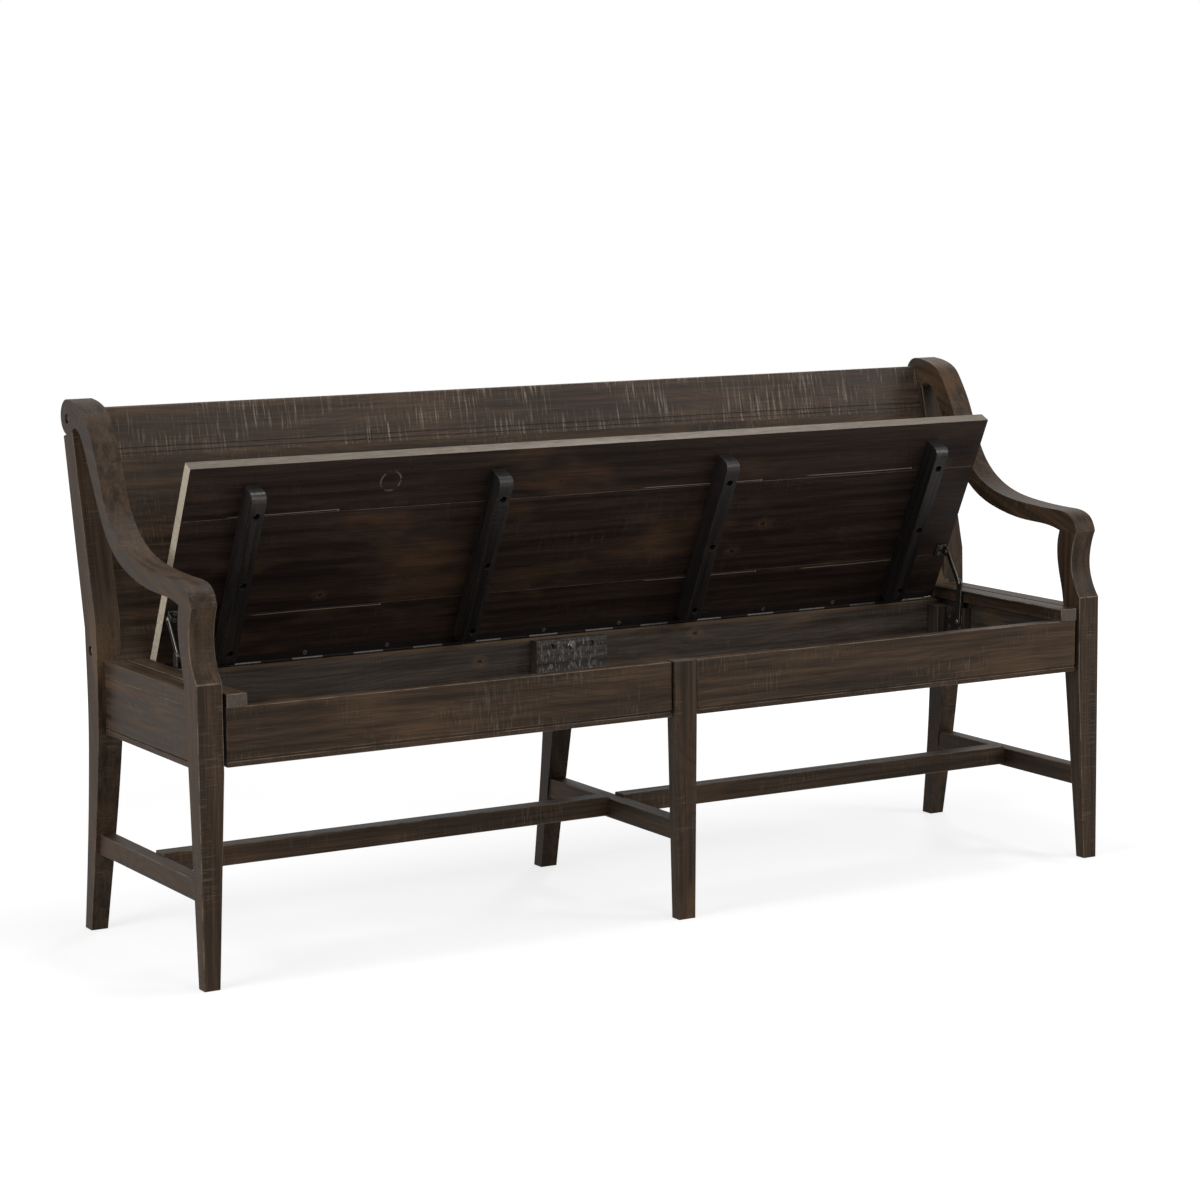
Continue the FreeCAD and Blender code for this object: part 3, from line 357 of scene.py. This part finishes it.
    height = calc(tree, "MULTIPLY", fibres, relief["fibres"])
    height = calc(tree, "ADD", height, calc(tree, "MULTIPLY", rings, relief["rings"]))
    height = calc(tree, "SUBTRACT", height, calc(tree, "MULTIPLY", darkMark, relief["darkMark"] * amount))
    height = calc(tree, "ADD", height, calc(tree, "MULTIPLY", lightMark, relief["lightMark"] * amount))
    height = calc(tree, "SUBTRACT", height, calc(tree, "MULTIPLY", dents, relief["dents"]))
    inputs = {"Height": height, "Distance": figure["bumpDepth"], "Strength": figure["bumpStrength"]}
    bump = addNode(tree, "Bump", inputs)
    tree.links.new(bump.outputs[0], shader.inputs["Normal"])
    return material


# Steel

steelLooks = {
    "hinge": {"base": (0.070, 0.068, 0.066), "bright": (0.20, 0.195, 0.19), "spot": (0.030, 0.024, 0.020),
              "metal": 0.55, "rough": 0.46, "paleMarks": 0.5, "sheen": 0.5},
    # leaf: the lid's half of the same hinge steel, drawn near black and dull as a painted shade where it sits in the
    # lid's shade
    "leaf": {"base": (0.012, 0.009, 0.008), "bright": (0.06, 0.055, 0.05), "spot": (0.008, 0.006, 0.005),
             "metal": 0.0, "rough": 0.60, "paleMarks": 0.4, "sheen": 0.06},
    "stay": {"base": (0.040, 0.036, 0.033), "bright": (0.30, 0.28, 0.25), "spot": (0.020, 0.016, 0.013),
             "metal": 0.60, "rough": 0.38, "paleMarks": 0.8, "sheen": 0.5},
    "screw": {"base": (0.20, 0.19, 0.175), "bright": (0.55, 0.53, 0.50), "spot": (0.055, 0.045, 0.038),
              "metal": 0.85, "rough": 0.36, "paleMarks": 0.9, "sheen": 0.5},
}


steelGrain = {
    "spots": (180.0, 180.0, 180.0),  # per metre
    "scratches": (40.0, 900.0, 900.0),
    "bumpDepth": 0.0002,
    "bumpStrength": 0.5,
}


def agedSteel(name, lookName):
    look = steelLooks[lookName]
    material = bpy.data.materials.new(name)
    material.use_nodes = True
    tree = material.node_tree
    shader = tree.nodes["Principled BSDF"]
    place = addNode(tree, "TexCoord").outputs["Object"]
    spots = noise(tree, place, steelGrain["spots"], 4.0, 0.65)
    scratches = noise(tree, place, steelGrain["scratches"], 2.0, 0.6)
    colour = mixColour(tree, fade(tree, spots, 0.50, 0.70, 0.0, 0.8), tone(look, "base"), tone(look, "spot"))
    colour = mixColour(tree, fade(tree, scratches, 0.62, 0.74, 0.0, 0.5), colour, tone(look, "bright"))
    arris = addNode(tree, "Attribute", attribute_name="arris").outputs["Fac"]
    paleMarks = calc(tree, "MULTIPLY", arris, fade(tree, spots, 0.40, 0.62, 0.2, look["paleMarks"]), clamp=True)
    colour = mixColour(tree, paleMarks, colour, tone(look, "bright"))
    tree.links.new(colour, shader.inputs["Base Color"])
    polish = calc(tree, "ADD", look["rough"], fade(tree, spots, 0.3, 0.7, -0.1, 0.14))
    tree.links.new(polish, shader.inputs["Roughness"])
    shader.inputs["Metallic"].default_value = look["metal"]
    shader.inputs["Specular IOR Level"].default_value = look["sheen"]
    height = calc(tree, "ADD", calc(tree, "MULTIPLY", spots, 0.6), calc(tree, "MULTIPLY", scratches, 0.3))
    inputs = {"Height": height, "Distance": steelGrain["bumpDepth"], "Strength": steelGrain["bumpStrength"]}
    bump = addNode(tree, "Bump", inputs)
    tree.links.new(bump.outputs[0], shader.inputs["Normal"])
    return material


# Softened edges: a copy of a frame piece whose outer corners are eased, with the eased faces marked "arris"

edgeRules = {
    "sameCorner": 0.00002,  # metres, points closer than this are one point
    "flatAngle": 0.5,  # degrees, below which two faces are one flat face
    "sharpAngle": 28.0,  # degrees, above which an edge is a corner
    "sameHeight": 0.001,  # metres
    "boardLength": 0.5,  # metres, longer than any edge across a board
}


def easedCopy(name, width, segments=2, keepSharp=None):
    source = frame["nodes"][name]
    work = bmesh.new()
    work.from_mesh(source.data)
    bmesh.ops.remove_doubles(work, verts=work.verts, dist=edgeRules["sameCorner"])
    bmesh.ops.dissolve_limit(work, angle_limit=math.radians(edgeRules["flatAngle"]), verts=work.verts,
                             edges=work.edges)
    arris = work.faces.layers.float.new("arris")
    sharp = math.radians(edgeRules["sharpAngle"])
    corners = [edge for edge in work.edges
               if len(edge.link_faces) == 2 and edge.calc_face_angle(0.0) > sharp and edge.is_convex]
    if keepSharp:
        corners = [edge for edge in corners if not keepSharp(edge)]
    made = bmesh.ops.bevel(work, geom=corners, offset=width, offset_type="OFFSET", segments=segments,
                           profile=0.5, affect="EDGES", clamp_overlap=True, material=-1)
    eased = set(made["faces"])
    for face in work.faces:
        if face in eased:
            face[arris] = 1.0
            face.smooth = True
            continue
        bends = [edge.calc_face_angle(0.0) for edge in face.edges
                 if len(edge.link_faces) == 2 and not any(other in eased for other in edge.link_faces)]
        face.smooth = any(math.radians(edgeRules["flatAngle"]) < bend < sharp for bend in bends)
    for edge in work.edges:
        sides = [face in eased for face in edge.link_faces]
        if len(sides) == 2 and sides[0] != sides[1]:
            edge.smooth = False
    mesh = bpy.data.meshes.new(name + "_eased")
    work.to_mesh(mesh)
    work.free()
    piece = bpy.data.objects.new(name + "_eased", mesh)
    bpy.context.scene.collection.objects.link(piece)
    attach(piece, source["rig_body"])
    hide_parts(name)
    return piece


def finishPiece(name, material, width, segments=2, keepSharp=None):
    piece = easedCopy(name, width, segments, keepSharp)
    piece.data.materials.clear()
    piece.data.materials.append(material)
    return piece


# Which finish each piece takes

lidFinish = {
    "open": 64.4,  # degrees that the lid stands open at rest
    "boardEdge": 0.0010,  # metres, the width of the eased edges
    "battenEdge": 0.0018,
    "ring": (-0.442, -0.352, 0.019),  # a pale mark that a mug or tin left
    "knots": ((-0.535, -0.129, 0.009), (0.310, -0.149, 0.010), (0.366, -0.204, 0.012)),
    "scratches": (  # from x to x along the lid, at y forward of the hinge, half as wide as the last figure
        (-0.744, -0.532, -0.301, 0.0009), (0.071, 0.332, -0.301, 0.0009), (0.428, 0.671, -0.304, 0.0009),
        (-0.662, -0.412, -0.099, 0.0009), (0.123, 0.377, -0.099, 0.0009), (0.475, 0.691, -0.097, 0.0009),
    ),
}

rearApronFinish = {
    "warmBand": (1, -0.440, -0.454),  # the axis across the board, from where the stain is thin to where it is rubbed
    "knots": ((-0.193, -0.418, 0.010), (0.269, -0.431, 0.011)),
    "edge": 0.0008,
}

backFinish = {"rake": 14.0, "boards": 76.0, "plankEdge": 0.0008}
armFinish = {"rise": -20.0}  # degrees, the slope of its grain

woodPieces = (
    # names, look, grain, lean in degrees, width of the eased edge in metres
    (("front_post_left", "front_post_right"), "frame", "upright", 0.0, 0.0016),
    (("rear_post_left", "rear_post_right"), "frame", "upright", backFinish["rake"], 0.0014),
    (("arm_left", "arm_right"), "frame", "depth", armFinish["rise"], 0.0022),
    (("side_apron_left", "side_apron_right"), "frame", "depth", 0.0, 0.0010),
    (("side_cap_left", "side_cap_right"), "frame", "depth", 0.0, 0.0014),
    (("side_stretcher_left", "side_stretcher_right"), "frame", "depth", 0.0, 0.0014),
    (("long_stretcher_left", "long_stretcher_right"), "frame", "along", 0.0, 0.0014),
    (("centre_stretcher",), "frame", "depth", 0.0, 0.0014),
    (("centre_leg_front", "centre_leg_rear"), "frame", "upright", 0.0, 0.0016),
    (("front_apron_left", "front_apron_right"), "frame", "along", 90.0, 0.0012),
    (("seat_strip_left", "seat_strip_right"), "frame", "depth", 0.0, 0.0012),
    (("back_top_rail",), "rail", "along", backFinish["boards"], 0.0012),
    (("back_batten",), "box", "upright", backFinish["rake"], 0.0012),
    (("box_end_left", "box_end_right"), "box", "depth", 0.0, 0.0008),
    (("bottom_cleats", "bottom_panels"), "box", "along", 0.0, 0.0006),
    (("corner_blocks", "stay_blocks"), "box", "upright", 0.0, 0.0010),
    (("centre_block_front", "centre_block_rear"), "scarred", "along", 90.0, 0.0012),
)

metalPieces = (
    (("hinge_box_leaf",), "hinge", 0.0003),
    # the lid's hinge leaf takes the darkened steel: painted shade
    (("hinge_lid_leaf",), "leaf", 0.0003),
    (("hinge_pin",), "hinge", 0.0002),
    (("stay_foot_plates", "stay_lower_arm_left", "stay_lower_arm_right", "stay_upper_link_left",
      "stay_upper_link_right", "stay_lid_ears"), "stay", 0.0005),
    (("stay_foot_rivets", "stay_ear_rivets"), "screw", 0.0005),
    (("frame_bolts",), "screw", 0.0005),
    (("frame_screws", "lid_batten_screws", "box_hardware_screws", "lid_hardware_screws"), "screw", 0.0003),
)


# The long edges between two boards of the back stay sharp and closed

def seamEdge(edge):
    run = edge.verts[1].co - edge.verts[0].co
    return abs(run.x) > edgeRules["boardLength"]


# The joint between the front post and the arm stays a closed, dark line

postTop = max(corner.co.z for corner in frame["nodes"]["front_post_left"].data.vertices)


def jointEdge(edge):
    return all(abs(corner.co.z - postTop) < edgeRules["sameHeight"] for corner in edge.verts)


def buildWood():
    for names, look, grain, lean, width in woodPieces:
        for index, name in enumerate(names):
            material = stainedWood(name + "_wood", look, grain, lean, seed=index + len(name))
            closed = jointEdge if name.startswith(("arm", "front_post")) else None
            finishPiece(name, material, width, keepSharp=closed)
    rear = stainedWood("rear_apron_wood", "box", "along", 90.0, seed=3, knots=rearApronFinish["knots"],
                       warmBand=rearApronFinish["warmBand"])
    finishPiece("rear_apron", rear, rearApronFinish["edge"])
    for index in range(1, 5):
        name = "back_plank_" + str(index)
        material = stainedWood(name + "_wood", "frame", "along", backFinish["boards"], seed=index * 2)
        finishPiece(name, material, backFinish["plankEdge"], keepSharp=seamEdge)
    print("frame, box and back finished")


def buildLid():
    start = tuple(hingeLine)
    for index, name in enumerate(("lid_board_front", "lid_board_middle", "lid_board_rear")):
        material = stainedWood(name + "_wood", "lid", "along", lidFinish["open"], start, seed=index + 1,
                               knots=lidFinish["knots"], scratches=lidFinish["scratches"],
                               ring=lidFinish["ring"])
        finishPiece(name, material, lidFinish["boardEdge"])
    for index in range(1, 5):
        name = "lid_batten_" + str(index)
        material = stainedWood(name + "_wood", "batten", "depth", lidFinish["open"], start, seed=index)
        finishPiece(name, material, lidFinish["battenEdge"], segments=3)
    print("lid finished")


def buildHardware():
    for names, look, width in metalPieces:
        material = agedSteel(look + "_steel", look)
        for name in names:
            finishPiece(name, material, width, segments=1)
    print("hardware finished")


# Floor, world and lamps

stageSet = {
    "size": 16.0,
    "floorTone": 0.60,
    "shadowShare": 0.30,  # how much of the floor's look comes from the light that falls on it
    "floorLift": 1.065,
    "clearFrom": 1.25,  # metres from the middle, where the floor starts to clear to white
    "clearTo": 2.4,
    "clearLift": 0.20,
    "ambient": 0.26,
}

lamps = {
    "overhead": {"place": (0.0, -0.1, 3.4), "aim": (0.0, 0.0, 0.5), "size": (0.9, 0.8), "power": 40.0},
    "frontFill": {"place": (0.6, -4.2, 2.4), "aim": (0.0, 0.0, 0.5), "size": (2.4, 1.6), "power": 60.0},
    "leftFill": {"place": (-3.6, -0.8, 1.6), "aim": (-0.4, 0.0, 0.5), "size": (1.6, 2.0), "power": 68.0},
    "rightFill": {"place": (2.9, -2.2, 2.1), "aim": (0.4, 0.0, 0.5), "size": (1.2, 1.8), "power": 46.0},
    "backGlint": {"place": (2.4, 2.2, 3.6), "aim": (0.0, 0.0, 0.7), "size": (0.5, 0.4), "power": 34.0},
}


def seenRays(tree):
    rays = addNode(tree, "LightPath").outputs
    seen = calc(tree, "MAXIMUM", rays["Is Camera Ray"], rays["Is Glossy Ray"])
    return calc(tree, "MAXIMUM", seen, rays["Is Transmission Ray"])


def buildStage():
    work = bmesh.new()
    bmesh.ops.create_grid(work, x_segments=1, y_segments=1, size=stageSet["size"] / 2)
    mesh = bpy.data.meshes.new("studioFloor")
    work.to_mesh(mesh)
    work.free()
    floor = bpy.data.objects.new("studioFloor", mesh)
    bpy.context.scene.collection.objects.link(floor)
    material = bpy.data.materials.new("studioFloor")
    material.use_nodes = True
    tree = material.node_tree
    tree.nodes.remove(tree.nodes["Principled BSDF"])
    share = stageSet["shadowShare"]
    plain = addNode(tree, "BsdfDiffuse", {"Color": (stageSet["floorTone"],) * 3 + (1.0,)})
    shaded = addNode(tree, "BsdfDiffuse", {"Color": (share, share, share, 1.0)})
    reach = addNode(tree, "VectorMath", {0: addNode(tree, "TexCoord").outputs["Object"]}, operation="LENGTH")
    clear = fade(tree, reach.outputs["Value"], stageSet["clearFrom"], stageSet["clearTo"], 0.0,
                 stageSet["clearLift"])
    lift = addNode(tree, "Emission", {"Strength": calc(tree, "ADD", clear, stageSet["floorLift"] - share)})
    pale = addNode(tree, "AddShader", {0: shaded.outputs[0], 1: lift.outputs[0]})
    inputs = {0: seenRays(tree), 1: plain.outputs[0], 2: pale.outputs[0]}
    mixed = addNode(tree, "MixShader", inputs)
    tree.links.new(mixed.outputs[0], tree.nodes["Material Output"].inputs["Surface"])
    mesh.materials.append(material)

    world = bpy.data.worlds.new("studioWorld")
    world.use_nodes = True
    bpy.context.scene.world = world
    tree = world.node_tree
    level = fade(tree, seenRays(tree), 0.0, 1.0, stageSet["ambient"], 1.0)
    tree.links.new(level, tree.nodes["Background"].inputs["Strength"])
    tree.nodes["Background"].inputs["Color"].default_value = (1.0, 1.0, 1.0, 1.0)

    for name, lamp in lamps.items():
        data = bpy.data.lights.new(name, "AREA")
        data.shape = "RECTANGLE"
        data.size, data.size_y = lamp["size"]
        data.energy = lamp["power"]
        light = bpy.data.objects.new(name, data)
        aim = Vector(lamp["aim"]) - Vector(lamp["place"])
        turn = aim.to_track_quat("-Z", "Y").to_matrix().to_4x4()
        light.matrix_world = Matrix.Translation(lamp["place"]) @ turn
        bpy.context.scene.collection.objects.link(light)
    bpy.context.scene.view_settings.view_transform = "Standard"
    print("stage and lamps set")


buildCamera(cameraView)
buildWood()
buildLid()
buildHardware()
buildStage()
